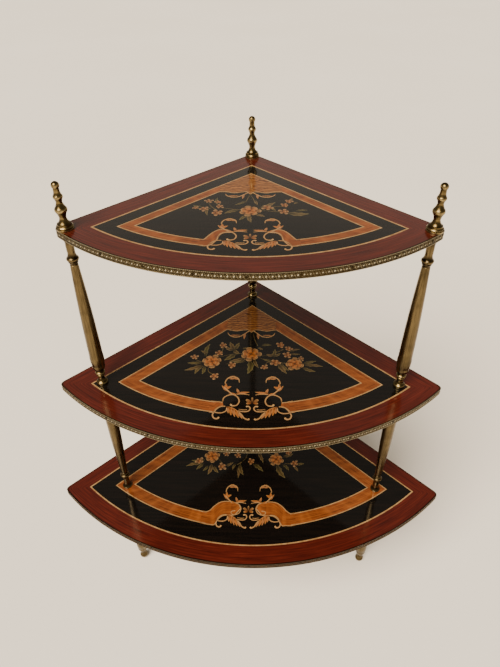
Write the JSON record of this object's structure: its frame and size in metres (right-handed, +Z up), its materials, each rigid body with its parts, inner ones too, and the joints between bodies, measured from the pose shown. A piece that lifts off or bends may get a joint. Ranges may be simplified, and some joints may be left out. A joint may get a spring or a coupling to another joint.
{
  "type": "corner stand",
  "caption": "Corner display stand with quarter-round inlaid wooden shelves, brass edge trim, turned brass posts, feet and finials.",
  "frame": {"origin": "centre of the stand's footprint box, on the floor under its feet", "axes": "+Z up along the posts, +Y towards the square back corner, +X to the right seen from the round front"},
  "size_m": [0.4738, 0.3355, 0.5894],
  "materials": {
    "plywood_core": "satin stained plywood",
    "mahogany": "high gloss lacquer",
    "boxwood": "high gloss lacquer",
    "tulipwood": "high gloss lacquer",
    "ebonised_wood": "high gloss lacquer",
    "embossed_brass": "aged, embossed",
    "turned_brass": "aged, turned",
    "steel_rod": "plain"
  },
  "bodies": {
    "root": {"back_finial": "turned_brass", "back_foot": "turned_brass", "back_leg_collar": "turned_brass", "back_leg_shaft": "turned_brass", "back_lower_base_collar": "turned_brass", "back_lower_neck_collar": "turned_brass", "back_lower_shaft": "turned_brass", "back_tie_rod": "steel_rod", "back_upper_base_collar": "turned_brass", "back_upper_neck_collar": "turned_brass", "back_upper_shaft": "turned_brass", "bottom_black_ground": "ebonised_wood", "bottom_border_veneer": "mahogany", "bottom_boxwood_line": "boxwood", "bottom_edge_trim": "embossed_brass", "bottom_shelf_board": "plywood_core", "bottom_side_lipping": "mahogany", "bottom_tulipwood_band": "tulipwood", "left_finial": "turned_brass", "left_foot": "turned_brass", "left_leg_collar": "turned_brass", "left_leg_shaft": "turned_brass", "left_lower_base_collar": "turned_brass", "left_lower_neck_collar": "turned_brass", "left_lower_shaft": "turned_brass", "left_tie_rod": "steel_rod", "left_upper_base_collar": "turned_brass", "left_upper_neck_collar": "turned_brass", "left_upper_shaft": "turned_brass", "middle_black_ground": "ebonised_wood", "middle_border_veneer": "mahogany", "middle_boxwood_line": "boxwood", "middle_edge_trim": "embossed_brass", "middle_shelf_board": "plywood_core", "middle_side_lipping": "mahogany", "middle_tulipwood_band": "tulipwood", "right_finial": "turned_brass", "right_foot": "turned_brass", "right_leg_collar": "turned_brass", "right_leg_shaft": "turned_brass", "right_lower_base_collar": "turned_brass", "right_lower_neck_collar": "turned_brass", "right_lower_shaft": "turned_brass", "right_tie_rod": "steel_rod", "right_upper_base_collar": "turned_brass", "right_upper_neck_collar": "turned_brass", "right_upper_shaft": "turned_brass", "top_black_ground": "ebonised_wood", "top_border_veneer": "mahogany", "top_boxwood_line": "boxwood", "top_edge_trim": "embossed_brass", "top_shelf_board": "plywood_core", "top_side_lipping": "mahogany", "top_tulipwood_band": "tulipwood", "trim_pins": "embossed_brass"}
  },
  "joints": []
}
